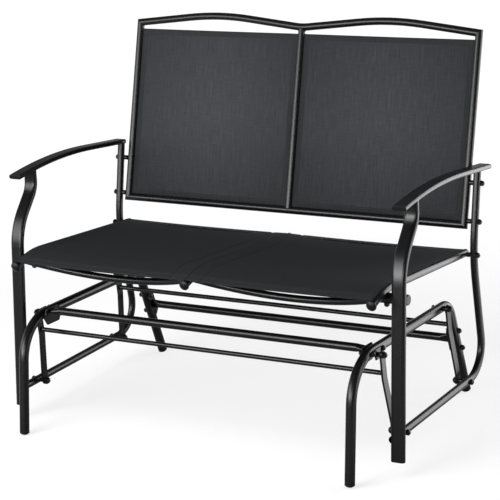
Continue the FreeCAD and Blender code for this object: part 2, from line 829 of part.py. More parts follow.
add_pair("seat_side_rail", seat_side_rail())
parts["seat_middle_rail"] = seat_rail(0)
side_caps = rail_end_caps(seat_rail_x)
parts["seat_rail_end_caps"] = Part.makeCompound([both_sides(cap) for cap in side_caps] + rail_end_caps(0))

rail_solids = []
for x in (-seat_rail_x, 0, seat_rail_x):
    rail_solids.append(bar(at_x(seat_side_points, x), [seat_hump_bend], X, rail_dia))


# Two short tubes that tie the rear ends of the seat rails together
rear_bar_z = seat_rail_z(seat_bar_y)
rear_bar = ring_x(0, seat_rail_x, seat_bar_y, rear_bar_z, rail_dia, inside(rail_dia)).cut(rail_solids)
rear_bar = max(rear_bar.Solids, key=lambda piece: piece.Volume)
parts["seat_rear_bars"] = both_sides(rear_bar)


# Bow bars: one arc from the middle rail to each side rail, dropping back and down
def bow_bar():
    rail_z = between(bow_inset_y, seat_front_y, seat_front_z, seat_hump_y, seat_hump_z)
    start = Vector(0, bow_inset_y, rail_z - bow_end_drop)
    end = Vector(seat_rail_x, bow_inset_y, start.z)
    low = Vector(seat_rail_x / 2, bow_inset_y + bow_sag_back, start.z - bow_sag_down)
    route = Part.Wire([Part.Arc(start, low, end).toShape()])
    normal = (end - start).cross(low - start).normalize()
    body = swept(route, normal, bow_dia).cut(swept(route, normal, inside(bow_dia)))
    body = body.cut(rail_solids).common(beyond(Vector(0, 0, 0), X))
    return max(body.Solids, key=lambda piece: piece.Volume)


add_pair("seat_bow_bar", bow_bar())


# Stubs behind the front legs that the seat side rails are bolted down to
stub_inner_x = seat_rail_x - rail_dia / 2 - stub_overhang
stub_outer_x = leg_x + leg_tube_width / 2 - plug_rim


def leg_stub():
    body = ring_x(stub_inner_x, stub_outer_x, stub_y, stub_z, stub_dia, inside(stub_dia))
    body = body.cut([leg_solid, stub_bolt_hole] + rail_solids)
    return max(body.Solids, key=lambda piece: piece.Volume)


parts["seat_stubs"] = both_sides(leg_stub())
stub_caps = []
for x, outward in ((stub_outer_x, X), (stub_inner_x, X * -1)):
    cap = end_plug(Vector(x, stub_y, stub_z), outward, Y, stub_dia)
    stub_caps.append(both_sides(cap.cut([leg_solid, stub_bolt_hole] + rail_solids)))
parts["seat_stub_caps"] = Part.makeCompound(stub_caps)
stub_bolt = rod(stub_bolt_low - Z * (cap_nut_height / 2), stub_bolt_top, frame_bolt_dia)
parts["seat_stub_bolts"] = both_sides(stub_bolt)
stub_nut = cap_nut(stub_bolt_low, Z * -1, cap_nut_dia, cap_nut_height, frame_bolt_dia, cap_nut_height / 2)
parts["seat_stub_nuts"] = both_sides(stub_nut)

# Back frame in its leaning plane: x across, s up the plane, t out of its rear face
back_up = Vector(0, math.sin(lean), math.cos(lean))
back_out = Vector(0, math.cos(lean), -math.sin(lean))
back_origin = Vector(0, back_foot_y, back_foot_z)


def back(x, s, t=0.0):
    return back_origin + X * x + back_up * s + back_out * t


corner_s = back_side_height - rail_dia / 2
dip_s = back_dip_height - rail_dia / 2
peak_s = corner_s + back_peak_rise
back_panel_high = min(back_side_height, back_dip_height) - back_panel_top_gap
low_s = rail_dia / 2
top_points = [
    back(-back_rail_x, corner_s),
    back(-back_peak_x, peak_s),
    back(0, dip_s),
    back(back_peak_x, peak_s),
    back(back_rail_x, corner_s),
]


def beyond_mitre(corner, kept, other):
    """The half of space past a mitre, on the side of the direction that is kept."""
    return beyond(corner, (kept - other).normalize())


def back_top():
    way_in = (top_points[1] - top_points[0]).normalize()
    way_out = (top_points[3] - top_points[4]).normalize()
    overrun = rail_dia
    points = [top_points[0] - way_in * overrun] + top_points[1:4] + [top_points[4] - way_out * overrun]
    bends = [back_peak_bend, back_dip_bend, back_peak_bend]
    body = tube(points, bends, back_out, rail_dia)
    down = back_up * -1
    body = body.common(beyond_mitre(top_points[0], way_in, down))
    return body.common(beyond_mitre(top_points[4], way_out, down)), way_out


back_top_rail, mitre_way = back_top()
back_top_solid = bar(top_points, [back_peak_bend, back_dip_bend, back_peak_bend], back_out, rail_dia)
parts["back_top_rail"] = back_top_rail


def back_side():
    low = back(back_rail_x, low_s)
    high = back(back_rail_x, corner_s)
    start = low - back_up * rail_dia
    end = high + back_up * rail_dia
    body = rod(start, end, rail_dia).cut(rod(start, end, inside(rail_dia)))
    body = body.common(beyond_mitre(low, back_up, X * -1))
    body = body.common(beyond_mitre(high, back_up * -1, mitre_way))
    body = body.cut(back_slot(back_rail_x, -1))
    for y, z, gap in back_bolt_spots:
        hole = frame_bolt_dia + 2 * hole_clearance
        body = body.cut(rod_x(back_rail_x, rail_inner_x, y, z, hole))
    return body


def back_slot(x, way):
    """The opening along a rail that the fabric goes in through."""
    corner = back(x, back_panel_low, -rail_slot / 2)
    outline = [
        corner,
        corner + X * (way * rail_dia),
        corner + X * (way * rail_dia) + back_out * rail_slot,
        corner + back_out * rail_slot,
        corner,
    ]
    return Part.Face(Part.makePolygon(outline)).extrude(back_up * (back_panel_high - back_panel_low))


add_pair("back_side_rail", back_side())


def back_bottom():
    left = back(-back_rail_x, low_s)
    right = back(back_rail_x, low_s)
    overrun = X * rail_dia
    body = rod(left - overrun, right + overrun, rail_dia)
    body = body.cut(rod(left - overrun, right + overrun, inside(rail_dia)))
    body = body.common(beyond_mitre(left, X, back_up))
    return body.common(beyond_mitre(right, X * -1, back_up))


parts["back_bottom_rail"] = back_bottom()
bottom_solid = rod(back(-back_rail_x, low_s), back(back_rail_x, low_s), rail_dia)


def middle_post():
    low = back(0, low_s)
    high = back(0, dip_s)
    body = rod(low, high, post_dia).cut(rod(low, high, inside(post_dia)))
    body = body.cut(bottom_solid).cut(back_top_solid)
    body = max(body.Solids, key=lambda piece: piece.Volume)
    return body.cut(back_slot(0, 1)).cut(back_slot(0, -1))


parts["back_middle_post"] = middle_post()


# Fabric of the back: a stretched sheet with a hem loop round a rod in each rail
def loop_offset(bore, loop):
    """How far a hem loop is drawn from the middle of a bore, against the slot's lips."""
    half_slot = rail_slot / 2
    return math.sqrt(bore ** 2 / 4 - half_slot ** 2) - math.sqrt(loop ** 2 / 4 - half_slot ** 2)


side_hem_x = back_rail_x - loop_offset(inside(rail_dia), hem_loop_dia)
post_hem_x = loop_offset(inside(post_dia), hem_loop_dia)


def back_panel():
    low = back(post_hem_x, back_panel_low, -fabric_thick / 2)
    sheet = Part.Face(Part.makePolygon([
        low,
        back(side_hem_x, back_panel_low, -fabric_thick / 2),
        back(side_hem_x, back_panel_low, fabric_thick / 2),
        back(post_hem_x, back_panel_low, fabric_thick / 2),
        low,
    ])).extrude(back_up * (back_panel_high - back_panel_low))
    rods = []
    for x in (post_hem_x, side_hem_x):
        start = back(x, back_panel_low)
        end = back(x, back_panel_high)
        sheet = sheet.fuse(rod(start, end, hem_loop_dia))
        rods.append(rod(start, end, hem_rod_dia))
    return sheet.cut(rods), rods


back_fabric, back_rods = back_panel()
add_pair("back_panel", back_fabric)
parts["back_hem_rods"] = Part.makeCompound([both_sides(piece) for piece in back_rods])

# Fabric of the seat: a sheet on top of the rails, with a hem loop inside each slot
sheet_low = rail_dia / 2
sheet_high = sheet_low + fabric_thick
side_hem_rise = loop_offset(inside(rail_dia), hem_loop_dia) - hem_slack


def seat_cut(inset):
    """The part of the rails' length from an inset at the front to the rear of the fabric."""
    return box(-far, far, seat_front_y + inset, seat_panel_rear_y, 0, far)


def seat_hem(x, dia, rise):
    """A round hem or rod that follows the rails inside their bore."""
    return bar(at_x(raised(seat_side_points, rise), x), [seat_hump_bend + rise], X, dia)


def seat_panel():
    body = seat_ribbon(fabric_thick / 2, seat_rail_x + fabric_thick / 2, sheet_low, sheet_high)
    body = body.common(seat_cut(seat_panel_front_inset))
    hem_cut = seat_cut(seat_hem_front_inset)
    rods = []
    for tab_x, hem_x, rise in (
        (fabric_thick / 2, (fabric_thick + hem_loop_dia) / 2, 0),
        (seat_rail_x - fabric_thick / 2, seat_rail_x, side_hem_rise),
    ):
        body = body.fuse(seat_ribbon(tab_x, tab_x + fabric_thick, rise, sheet_high).common(hem_cut))
        body = body.fuse(seat_hem(hem_x, hem_loop_dia, rise).common(hem_cut))
        rods.append(seat_hem(hem_x, hem_rod_dia, rise).common(hem_cut))
    return body.cut(rods), rods


seat_fabric, seat_rods = seat_panel()
add_pair("seat_panel", seat_fabric)
parts["seat_hem_rods"] = Part.makeCompound([both_sides(piece) for piece in seat_rods])

# Stand the whole bench on the origin and write one file for each node
whole = Part.makeCompound(list(parts.values()))
bounds = whole.BoundBox
to_origin = Vector(0, -(bounds.YMin + bounds.YMax) / 2, -bounds.ZMin)
os.makedirs("parts", exist_ok=True)
for name, shape in parts.items():
    moved = shape.copy()
    moved.translate(to_origin)
    moved.exportStep("parts/" + name + ".step")
print("pieces", sum(len(shape.Solids) for shape in parts.values()), "nodes", len(parts))
print("size", round(bounds.XLength, 2), round(bounds.YLength, 2), round(bounds.ZLength, 2))
print("shift to the origin", round(to_origin.y, 3), round(to_origin.z, 3))
for label, y, z in (
    ("upper front pivot", *upper_pivots[0]),
    ("upper rear pivot", *upper_pivots[1]),
    ("lower front pivot", *lower_pivots[0]),
    ("lower rear pivot", *lower_pivots[1]),
):
    print(label, round((y + to_origin.y) / 1000, 5), round((z + to_origin.z) / 1000, 5))
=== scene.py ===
# %% [markdown]
# # A porch glider bench, dressed for a picture
# The bench is a welded steel frame that hangs on four straps inside a floor-standing base.
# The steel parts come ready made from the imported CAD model, so they are never moved here.
# This lesson gives them their finishes, and makes what CAD leaves plain: the woven slings
# with their folded hems and rows of stitching, the weld beads of the back frame, and a studio.

# %% Load the steel frame
import bpy
import bmesh
import json
import math
from mathutils import Matrix, Vector

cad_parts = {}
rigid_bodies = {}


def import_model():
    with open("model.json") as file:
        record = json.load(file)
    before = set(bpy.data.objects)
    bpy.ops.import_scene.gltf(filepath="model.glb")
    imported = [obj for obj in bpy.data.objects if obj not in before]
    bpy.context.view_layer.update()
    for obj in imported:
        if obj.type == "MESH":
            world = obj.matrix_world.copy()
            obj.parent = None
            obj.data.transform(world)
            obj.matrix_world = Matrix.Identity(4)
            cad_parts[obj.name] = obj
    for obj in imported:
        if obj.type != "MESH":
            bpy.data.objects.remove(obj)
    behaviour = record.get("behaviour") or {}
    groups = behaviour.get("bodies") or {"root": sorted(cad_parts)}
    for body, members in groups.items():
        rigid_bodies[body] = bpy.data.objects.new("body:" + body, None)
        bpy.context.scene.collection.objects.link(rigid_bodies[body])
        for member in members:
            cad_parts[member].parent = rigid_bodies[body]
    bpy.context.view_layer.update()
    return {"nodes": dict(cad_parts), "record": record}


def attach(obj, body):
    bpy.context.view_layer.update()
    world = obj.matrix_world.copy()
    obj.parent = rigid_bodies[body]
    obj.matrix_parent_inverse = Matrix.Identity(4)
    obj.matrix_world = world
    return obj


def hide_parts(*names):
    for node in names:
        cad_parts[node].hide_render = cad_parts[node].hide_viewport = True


for leftover in list(bpy.data.objects):
    bpy.data.objects.remove(leftover)

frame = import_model()
cad_nodes = frame["nodes"]

# %% [markdown]
# ## The viewpoint
# The photograph was taken with a long lens from in front, to the right and a little above.
# A camera is set by its place, the directions of its right and up sides, and its lens.
# The small shift says that the picture was cropped off centre.

# %% Camera
eye_data = bpy.data.cameras.new("photo_camera")
eye_data.lens = 142.34
eye_data.sensor_width = 36.0
eye_data.shift_x = 0.02268
eye_data.shift_y = 0.01996
eye_data.clip_end = 50.0
eye = bpy.data.objects.new("photo_camera", eye_data)
bpy.context.scene.collection.objects.link(eye)
eye_right = Vector((0.8622, 0.5016, -0.07073))
eye_up = Vector((-0.0871, 0.28435, 0.95475))
eye_back = Vector((0.49902, -0.81703, 0.28886))
turn = Matrix((eye_right, eye_up, eye_back)).transposed()
eye.matrix_world = Matrix.Translation((2.4175, -3.98789, 1.7954)) @ turn.to_4x4()
bpy.context.scene.camera = eye
print("camera at", [round(c, 3) for c in eye.location])


# %% [markdown]
# ## Two small tools for finishes
# A colour picked from a screen is an sRGB hex value, but a shader works in linear light, so
# one function turns it. The other adds a node, sets its values, and joins its inputs.

# %% Colour and node helpers
def linear(hex_colour):
    """An sRGB colour such as #46474b as the linear values that a shader takes."""
    values = []
    for start in (1, 3, 5):
        share = int(hex_colour[start:start + 2], 16) / 255
        if share <= 0.04045:
            values.append(share / 12.92)
        else:
            values.append(((share + 0.055) / 1.055) ** 2.4)
    return (*values, 1.0)


def add_node(finish, kind, inputs=None, **settings):
    """A node of that kind. An input's value is a number, a colour, or another node's output."""
    node = finish.node_tree.nodes.new(kind)
    for name, value in settings.items():
        setattr(node, name, value)
    for name, value in (inputs or {}).items():
        if isinstance(value, bpy.types.NodeSocket):
            finish.node_tree.links.new(value, node.inputs[name])
        else:
            node.inputs[name].default_value = value
    return node


def new_finish(name):
    """An empty material with its output node."""
    finish = bpy.data.materials.new(name)
    finish.use_nodes = True
    finish.node_tree.nodes.clear()
    return finish, add_node(finish, "ShaderNodeOutputMaterial")


def joined(finish, shader, output):
    finish.node_tree.links.new(shader.outputs[0], output.inputs["Surface"])
    return finish


# %% [markdown]
# ## Powder-coated steel
# The tubes are sprayed with a dry black powder and baked. The skin is even and satin, with a
# very faint orange peel about a millimetre and a half across. Where the powder lies thicker,
# its shade drifts over about 70 mm and its gloss over about 40 mm. Object coordinates are in
# metres, so a noise scale is one over a size. The photograph's coat is blacker at its edges
# than a plain varnish, so its mirror strength is set to about half of the usual.

# %% Powder coat
shade_drift_size = 1 / 14
gloss_drift_size = 1 / 25
peel_size = 1 / 620
gloss_drift = 0.02


def powder_coat(name, colour, thin_colour, roughness):
    finish, output = new_finish(name)
    place = add_node(finish, "ShaderNodeTexCoord").outputs["Object"]
    drift = add_node(
        finish, "ShaderNodeTexNoise",
        {"Vector": place, "Scale": 1 / shade_drift_size, "Detail": 3.0},
    )
    shade = add_node(
        finish, "ShaderNodeMix",
        {"Factor": drift.outputs[0], "A": linear(colour), "B": linear(thin_colour)},
        data_type="RGBA",
    )
    peel = add_node(
        finish, "ShaderNodeTexNoise", {"Vector": place, "Scale": 1 / peel_size, "Detail": 2.0},
    )
    bump = add_node(
        finish, "ShaderNodeBump",
        {"Height": peel.outputs[0], "Strength": 0.015, "Distance": 0.0003},
    )
    patches = add_node(
        finish, "ShaderNodeTexNoise",
        {"Vector": place, "Scale": 1 / gloss_drift_size, "Detail": 1.0},
    )
    gloss = add_node(
        finish, "ShaderNodeMapRange",
        {"Value": patches.outputs[0],
         "To Min": roughness - gloss_drift, "To Max": roughness + gloss_drift},
    )
    skin = add_node(
        finish, "ShaderNodeBsdfPrincipled",
        {"Base Color": shade.outputs["Result"], "Roughness": gloss.outputs["Result"],
         "Normal": bump.outputs["Normal"], "IOR": 1.5, "Specular IOR Level": 0.26},
    )
    return joined(finish, skin, output)


powder_black = powder_coat("satin_black_powder_coat", "#0b0b0d", "#101012", 0.27)
print(powder_black.name)

# %% [markdown]
# ## Moulded plastic
# The caps and plugs are injection-moulded polypropylene: as black as the steel but duller,
# because the mould is spark-textured with a grain of about half a millimetre. The bushes are
# moulded nylon, and the rods inside the hems are pale extruded vinyl. All three follow one
# recipe, each with its own colour, roughness and grain.


# %% Moulded caps, bushes and hem rods
def moulded_plastic(name, colour, roughness, grain):
    finish, output = new_finish(name)
    place = add_node(finish, "ShaderNodeTexCoord").outputs["Object"]
    texture = add_node(finish, "ShaderNodeTexVoronoi", {"Vector": place, "Scale": 1.0 / grain})
    bump = add_node(
        finish, "ShaderNodeBump",
        {"Height": texture.outputs["Distance"], "Strength": 0.2, "Distance": 0.0002},
    )
    cloud = add_node(finish, "ShaderNodeTexNoise", {"Vector": place, "Scale": 60.0, "Detail": 2.0})
    dark = linear(colour)
    pale = (*(value * 1.25 for value in dark[:3]), 1.0)
    shade = add_node(
        finish, "ShaderNodeMix",
        {"Factor": cloud.outputs[0], "A": dark, "B": pale},
        data_type="RGBA",
    )
    skin = add_node(
        finish, "ShaderNodeBsdfPrincipled",
        {"Base Color": shade.outputs["Result"], "Roughness": roughness,
         "Normal": bump.outputs["Normal"], "IOR": 1.49, "Specular IOR Level": 0.15},
    )
    return joined(finish, skin, output)


cap_plastic = moulded_plastic("spark_textured_polypropylene", "#0f0f11", 0.40, 0.0006)
bush_nylon = moulded_plastic("moulded_nylon", "#202124", 0.38, 0.0009)
hem_rod_vinyl = moulded_plastic("extruded_vinyl_rod", "#b9b7ae", 0.45, 0.0012)
print(cap_plastic.name, bush_nylon.name, hem_rod_vinyl.name)

# %% [markdown]
# ## Black zinc plate
# The bolts and nuts are steel with a thin black zinc plate. It is still a metal to the eye,
# with a dark sheen, a grain of about a millimetre, and a slight cast that drifts between brown
# and blue over each piece.


# %% Fastener plate
def zinc_plate():
    finish, output = new_finish("black_zinc_plated_steel")
    place = add_node(finish, "ShaderNodeTexCoord").outputs["Object"]
    cast = add_node(finish, "ShaderNodeTexNoise", {"Vector": place, "Scale": 160.0, "Detail": 3.0})
    shade = add_node(
        finish, "ShaderNodeMix",
        {"Factor": cast.outputs[0], "A": linear("#151517"), "B": linear("#1b1917")},
        data_type="RGBA",
    )
    grain = add_node(
        finish, "ShaderNodeTexNoise", {"Vector": place, "Scale": 900.0, "Detail": 1.0},
    )
    bump = add_node(
        finish, "ShaderNodeBump",
        {"Height": grain.outputs[0], "Strength": 0.1, "Distance": 0.0002},
    )
    skin = add_node(
        finish, "ShaderNodeBsdfPrincipled",
        {"Base Color": shade.outputs["Result"], "Metallic": 0.6, "Roughness": 0.34,
         "Normal": bump.outputs["Normal"]},
    )
    return joined(finish, skin, output)


black_zinc = zinc_plate()
print(black_zinc.name)

# %% [markdown]
# ## Woven sling
# The slings are polyester yarns with a vinyl skin, woven over and under like a basket. The
# yarns are about 1.3 mm apart, finer than one pixel, so the weave is drawn at 2.6 mm. Slubs,
# the thicker lengths of a yarn, give the faint upright and level streaks of the photograph:
# each is a noise drawn out along one thread direction, some 3 mm wide and 30 to 60 mm long.
# The cloth's own UV map is in metres along its two thread directions, so the weave follows
# every fold. A second UV map runs from 0 to 1 over the whole panel. On a back panel it carries
# painted shade: the colour is lightest in the middle and falls darker towards the sides. Matt
# yarn hardly shines at a flat angle, so the cloth has nearly no mirror strength.


# %% Sling cloth
yarn_pitch = 0.0026
fall_power = 1.4
upright_slub_scale = (360.0, 18.0, 1.0)
level_slub_scale = (32.0, 330.0, 1.0)


def painted_edge_falloff(finish, painted_edge_shade):
    """Painted shade: 1 in the middle of a panel, falling to the given edge shade in the middle of
    each side.
    """
    panel = add_node(finish, "ShaderNodeUVMap", uv_map="panel").outputs["UV"]
    from_middle = add_node(
        finish, "ShaderNodeVectorMath", {0: panel, 1: (0.5, 0.5, 0.0)}, operation="SUBTRACT",
    )
    apart = add_node(
        finish, "ShaderNodeVectorMath", {0: from_middle.outputs[0]}, operation="ABSOLUTE",
    )
    sides = add_node(finish, "ShaderNodeSeparateXYZ", {"Vector": apart.outputs[0]})
    falls = []
    for axis in ("X", "Y"):
        bent = add_node(
            finish, "ShaderNodeMath", {0: sides.outputs[axis], 1: fall_power}, operation="POWER",
        )
        falls.append(add_node(
            finish, "ShaderNodeMapRange",
            {"Value": bent.outputs[0], "From Max": 0.5 ** fall_power,
             "To Min": 1.0, "To Max": painted_edge_shade},
        ))
    return add_node(
        finish, "ShaderNodeMath", {0: falls[0].outputs["Result"], 1: falls[1].outputs["Result"]},
        operation="MULTIPLY",
    )


def woven_sling(name, yarn, gap, streak_share, painted_edge_shade=1.0):
    finish, output = new_finish(name)
    cloth = add_node(finish, "ShaderNodeUVMap", uv_map="cloth").outputs["UV"]
    threads = add_node(
        finish, "ShaderNodeVectorMath", {0: cloth, "Scale": math.pi / yarn_pitch},
        operation="SCALE",
    )
    across = add_node(finish, "ShaderNodeSeparateXYZ", {"Vector": threads.outputs["Vector"]})
    warp = add_node(finish, "ShaderNodeMath", {0: across.outputs["X"]}, operation="SINE")
    weft = add_node(finish, "ShaderNodeMath", {0: across.outputs["Y"]}, operation="SINE")
    warp_high = add_node(finish, "ShaderNodeMath", {0: warp.outputs[0]}, operation="ABSOLUTE")
    weft_high = add_node(finish, "ShaderNodeMath", {0: weft.outputs[0]}, operation="ABSOLUTE")
    turn_over = add_node(
        finish, "ShaderNodeMath", {0: warp.outputs[0], 1: weft.outputs[0]}, operation="MULTIPLY",
    )
    weft_over = add_node(
        finish, "ShaderNodeMath", {0: turn_over.outputs[0], 1: 0.0}, operation="GREATER_THAN",
    )
    ridge = add_node(
        finish, "ShaderNodeMix",
        {"Factor": weft_over.outputs[0], "A": warp_high.outputs[0], "B": weft_high.outputs[0]},
    )
    slub_noises = []
    for slub_scale in (upright_slub_scale, level_slub_scale):
        drawn_out = add_node(
            finish, "ShaderNodeMapping", {"Vector": cloth, "Scale": slub_scale},
        )
        slub_noises.append(add_node(
            finish, "ShaderNodeTexNoise",
            {"Vector": drawn_out.outputs[0], "Scale": 1.0, "Detail": 3.0},
        ))
    upright_slub, level_slub = slub_noises
    slubs = add_node(
        finish, "ShaderNodeMath",
        {0: level_slub.outputs[0], 1: 0.5, 2: upright_slub.outputs[0]},
        operation="MULTIPLY_ADD",
    )
    streaks = add_node(
        finish, "ShaderNodeMapRange",
        {"Value": slubs.outputs[0], "From Min": 0.5, "From Max": 1.0,
         "To Min": 1.0 - streak_share, "To Max": 1.0 + streak_share},
    )
    basket = add_node(
        finish, "ShaderNodeMix",
        {"Factor": ridge.outputs["Result"], "A": linear(gap), "B": linear(yarn)},
        data_type="RGBA",
    )
    # Painted shade: on a back panel the colour darkens from the middle towards the sides.
    tight = painted_edge_falloff(finish, painted_edge_shade)
    strength = add_node(
        finish, "ShaderNodeMath", {0: streaks.outputs["Result"], 1: tight.outputs[0]},
        operation="MULTIPLY",
    )
    shade = add_node(
        finish, "ShaderNodeVectorMath",
        {0: basket.outputs["Result"], "Scale": strength.outputs[0]},
        operation="SCALE",
    )
    bump = add_node(
        finish, "ShaderNodeBump",
        {"Height": ridge.outputs["Result"], "Strength": 0.5, "Distance": 0.0004},
    )
    skin = add_node(
        finish, "ShaderNodeBsdfPrincipled",
        {"Base Color": shade.outputs["Vector"], "Roughness": 0.8, "Normal": bump.outputs["Normal"],
         "IOR": 1.46, "Specular IOR Level": 0.06},
    )
    return joined(finish, skin, output)


# Painted backlight: the single layer of the back is coloured paler than its doubled hems and the
# seat.
back_cloth = woven_sling("charcoal_basket_weave_single_layer_painted_backlight", "#48494d", "#2c2e30", 0.21, 0.70)
back_hem_cloth = woven_sling("charcoal_basket_weave_doubled_back_hem", "#313335", "#222425", 0.12)
seat_cloth = woven_sling("charcoal_basket_weave_seat", "#292a2b", "#1c1d1e", 0.10)
# Painted highlight: the seat's doubled front and rear hems are coloured paler than the seat cloth.
seat_hem_cloth_painted_highlight = woven_sling("charcoal_basket_weave_doubled_seat_hem_painted_highlight", "#2d2e2f", "#1f2021", 0.08)
print(back_cloth.name, back_hem_cloth.name, seat_cloth.name, seat_hem_cloth_painted_highlight.name)

# %% [markdown]
# ## Sewing thread
# Bonded polyester thread, two plies twisted together, darker than the cloth of the back and
# close to that of the seat. A fine noise stands for the twist.

# %% Thread
thread_finish, thread_output = new_finish("bonded_polyester_thread")
thread_place = add_node(thread_finish, "ShaderNodeTexCoord").outputs["Object"]
thread_ply = add_node(
    thread_finish, "ShaderNodeTexNoise", {"Vector": thread_place, "Scale": 1500.0},
)
thread_shade = add_node(
    thread_finish, "ShaderNodeMix",
    {"Factor": thread_ply.outputs[0], "A": linear("#1d1e20"), "B": linear("#2d2e31")},
    data_type="RGBA",
)
thread_skin = add_node(
    thread_finish, "ShaderNodeBsdfPrincipled",
    {"Base Color": thread_shade.outputs["Result"], "Roughness": 0.5, "IOR": 1.5},
)
joined(thread_finish, thread_skin, thread_output)

# %% [markdown]
# ## Dress the steel
# Each CAD node keeps its shape and gets the finish of its material slot in the record.

# %% Finishes on the CAD nodes
slot_of = {row["node"]: row["material_slot"] for row in frame["record"]["subparts"]}
finish_of_slot = {
    "powder_coated_steel": powder_black,
    "sling_fabric": seat_cloth,
    "black_plastic": cap_plastic,
    "bush_plastic": bush_nylon,
    "hem_rod_plastic": hem_rod_vinyl,
    "black_fasteners": black_zinc,
}
for node_name, node in cad_nodes.items():
    node.data.materials.clear()
    node.data.materials.append(finish_of_slot[slot_of[node_name]])
print({slot: sum(1 for s in slot_of.values() if s == slot) for slot in finish_of_slot})


# %% [markdown]
# ## Finishing a new piece
# Every new piece is shaped in a bmesh, then becomes an object whose origin is the world's
# origin, rides on the body that carries it, and takes its slot's finish.

# %% Piece helper
def finished_piece(name, mesh_builder, finishes, body):
    mesh = bpy.data.meshes.new(name)
    mesh_builder.to_mesh(mesh)
    mesh_builder.free()
    for finish in finishes:
        mesh.materials.append(finish)
    piece = bpy.data.objects.new(name, mesh)
    bpy.context.scene.collection.objects.link(piece)
    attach(piece, body)
    print(name, len(mesh.polygons), "faces")
    return piece


# %% [markdown]
# ## Where the slings lie
# The seat rails climb from the front cap to a hump and fall gently to the rear. A line that
# follows them at some height above their middle is two straight runs and an arc between.
# The back frame leans back, so a point of it is given by its distance across, its distance up
# the leaning plane, and how far it stands behind that plane.

# %% Lines of the seat and the back
rail_front = Vector((-0.2817, 0.4090))
rail_hump = Vector((-0.2097, 0.4265))
rail_rear = Vector((0.2283, 0.3825))
hump_radius = 0.200
side_rail_x = 0.4900
rail_radius = 0.0095

climb = (rail_hump - rail_front).normalized()
fall = (rail_rear - rail_hump).normalized()
climb_up = Vector((-climb.y, climb.x))
fall_up = Vector((-fall.y, fall.x))
middle_up = (climb_up + fall_up).normalized()
hump_centre = rail_hump - middle_up * (hump_radius / middle_up.dot(climb_up))


def above_rails(y, rise):
    """Height of the line at y that runs a rise above the middle of the seat rails."""
    reach = hump_radius + rise
    if y < hump_centre.x + reach * climb_up.x:
        start = rail_front + climb_up * rise
        return start.y + (y - start.x) * climb.y / climb.x
    if y > hump_centre.x + reach * fall_up.x:
        start = rail_rear + fall_up * rise
        return start.y + (y - start.x) * fall.y / fall.x
    return hump_centre.y + math.sqrt(reach ** 2 - (y - hump_centre.x) ** 2)


lean = math.radians(16.47)
back_foot = Vector((0.0, 0.2278, 0.4427))
back_up = Vector((0.0, math.sin(lean), math.cos(lean)))
back_out = Vector((0.0, math.cos(lean), -math.sin(lean)))
back_rail_x = 0.4875


def on_back(x, up, out=0.0):
    return back_foot + Vector((x, 0.0, 0.0)) + back_up * up + back_out * out


print("hump arc centre", [round(c, 4) for c in hump_centre])


# %% [markdown]
# ## Cutting and folding a sling
# A sling is one grid of cloth. Its columns run between two rails and its rows along them. The
# first and last rows are folded back under, which makes the rounded double edge of a hem. The
# grid comes from the create_grid operator, and each point is then laid where its thread goes.
# One UV map keeps how far each thread is from the cut edge, in metres, and the other how far
# it is across the whole panel, from 0 to 1.

# %% Folded cloth grid
cloth_thickness = 0.0010
fold_gap = 0.0013
fold_depth = 0.022
row_step = 0.0125
column_step = 0.0135


def spaced(first, last, step):
    """Evenly spaced numbers from first to last, both included."""
    count = max(1, round(abs(last - first) / step))
    return [first + (last - first) * i / count for i in range(count + 1)]


def folded_rows(low, high):
    """Rows of (place along the rails, depth under the cloth), with a fold at each end."""
    nose = fold_gap / 2
    shoulder = nose * 0.4
    rows = [(low + place, fold_gap) for place in (fold_depth, fold_depth / 2, 0.004, 0.0015)]
    rows += [(low + shoulder, fold_gap * 0.92), (low, nose), (low + shoulder, fold_gap * 0.08)]
    rows += [(place, 0.0) for place in spaced(low + 0.0015, high - 0.0015, row_step)]
    rows += [(high - shoulder, fold_gap * 0.08), (high, nose), (high - shoulder, fold_gap * 0.92)]
    rows += [(high - place, fold_gap) for place in (0.0015, 0.004, fold_depth / 2, fold_depth)]
    return rows


def cloth_grid(columns, rows, lay, in_hem):
    """A grid of cloth. lay gives a point for a column and a row, in_hem says what is doubled."""
    cloth = bmesh.new()
    across, along = len(columns) - 1, len(rows) - 1
    bmesh.ops.create_grid(cloth, x_segments=across, y_segments=along, size=0.5)
    where = {}
    for point in cloth.verts:
        where[point] = (round((point.co.x + 0.5) * across), round((point.co.y + 0.5) * along))
    for point, (i, j) in where.items():
        point.co = lay(columns[i], rows[j])
    run = [0.0]
    for before, after in zip(rows, rows[1:]):
        run.append(run[-1] + math.hypot(after[0] - before[0], after[1] - before[1]))
    cut = cloth.loops.layers.uv.new("cloth")
    panel = cloth.loops.layers.uv.new("panel")
    for face in cloth.faces:
        spots = [where[loop.vert] for loop in face.loops]
        for loop, (i, j) in zip(face.loops, spots):
            loop[cut].uv = (columns[i], run[j])
            loop[panel].uv = (i / across, (run[j] - run[0]) / (run[-1] - run[0]))
        middle_x = sum(columns[i] for i, j in spots) / 4
        middle_y = sum(rows[j][0] for i, j in spots) / 4
        face.material_index = 1 if in_hem(middle_x, middle_y) else 0
        face.smooth = True
    cloth.normal_update()
    return cloth


def thickened(piece):
    """Gives the cloth its thickness, half to each side."""
    skin = piece.modifiers.new("cloth_thickness", "SOLIDIFY")
    skin.thickness = cloth_thickness
    skin.offset = 0.0
    return piece


# %% [markdown]
# ## The seat slings
# Each seat sling hangs between the middle rail and a side rail. It dips through the slot on
# top of each rail, where a rod inside its hem holds it, and is pulled tight over the top. Its
# own weight lets it sag a few millimetres between the rails, most in the middle of the seat.
# The front and rear edges are folded under and sewn. A seam 43 mm from the middle closes the
# inner hem and draws the cloth down a little. The columns stand close together where the
# cloth bends: in the slots, on the rails and at the seam.

